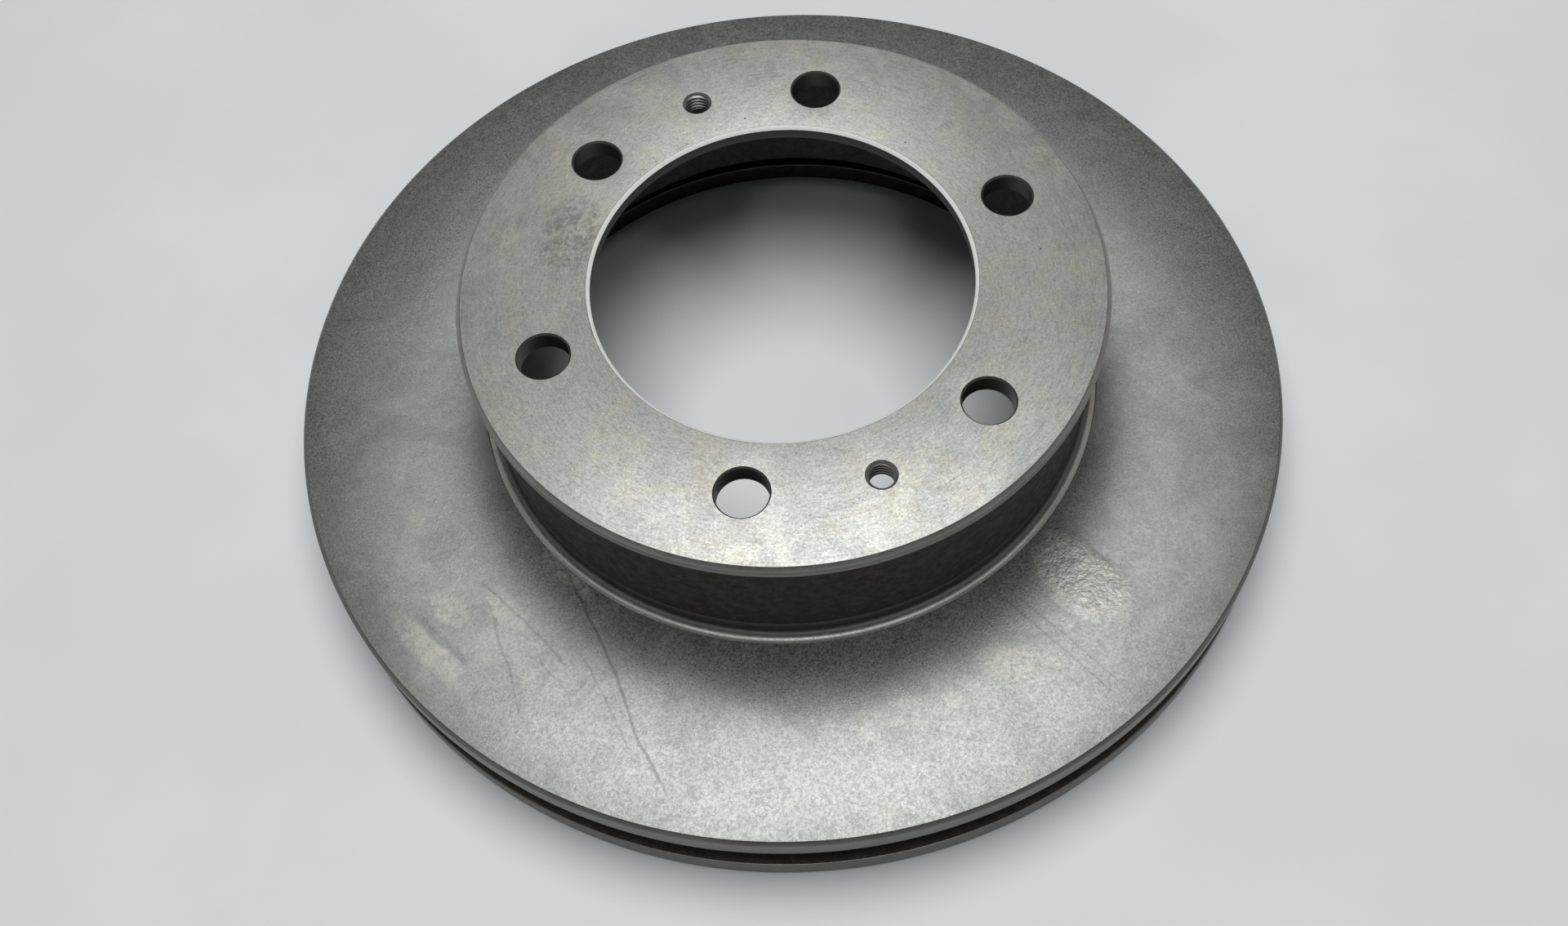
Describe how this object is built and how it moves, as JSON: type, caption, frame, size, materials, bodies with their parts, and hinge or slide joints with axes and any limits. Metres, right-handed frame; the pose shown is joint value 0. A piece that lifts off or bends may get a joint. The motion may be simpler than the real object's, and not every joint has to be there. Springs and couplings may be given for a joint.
{
  "type": "brake disc rotor",
  "caption": "Ventilated cast-iron brake disc with a deep top-hat centre, a pilot bore, wheel stud holes, jack-screw holes and radial cooling vanes between two friction plates.",
  "frame": {"origin": "on the axis of rotation, in the plane where the disc seats on the hub (underside of the hat flange)", "axes": "+Z along the axis of rotation towards the wheel, away from the friction ring; +X through the centre of a wheel stud hole; +Y completes the right-handed frame and passes through a jack-screw hole"},
  "size_m": [0.294, 0.294, 0.0695],
  "materials": {
    "turned_face": "fine turned grey iron, bright, with concentric tool marks and light oil stains",
    "ground_friction_face": "non-directional ground grey iron, satin, with blotches of preserving oil",
    "cast_skin": "as-cast, shot-blasted dark grey iron, matt and slightly rough"
  },
  "bodies": {
    "root": {"hat_flange": "turned_face", "hat_wall": "cast_skin", "outboard_friction_plate": "ground_friction_face", "inboard_friction_plate": "ground_friction_face", "vane_01": "cast_skin", "vane_02": "cast_skin", "vane_03": "cast_skin", "vane_04": "cast_skin", "vane_05": "cast_skin", "vane_06": "cast_skin", "vane_07": "cast_skin", "vane_08": "cast_skin", "vane_09": "cast_skin", "vane_10": "cast_skin", "vane_11": "cast_skin", "vane_12": "cast_skin", "vane_13": "cast_skin", "vane_14": "cast_skin", "vane_15": "cast_skin", "vane_16": "cast_skin", "vane_17": "cast_skin", "vane_18": "cast_skin", "vane_19": "cast_skin", "vane_20": "cast_skin", "vane_21": "cast_skin", "vane_22": "cast_skin", "vane_23": "cast_skin", "vane_24": "cast_skin", "vane_25": "cast_skin", "vane_26": "cast_skin", "vane_27": "cast_skin", "vane_28": "cast_skin", "vane_29": "cast_skin", "vane_30": "cast_skin", "vane_31": "cast_skin", "vane_32": "cast_skin", "vane_33": "cast_skin", "vane_34": "cast_skin", "vane_35": "cast_skin", "vane_36": "cast_skin"}
  },
  "joints": []
}
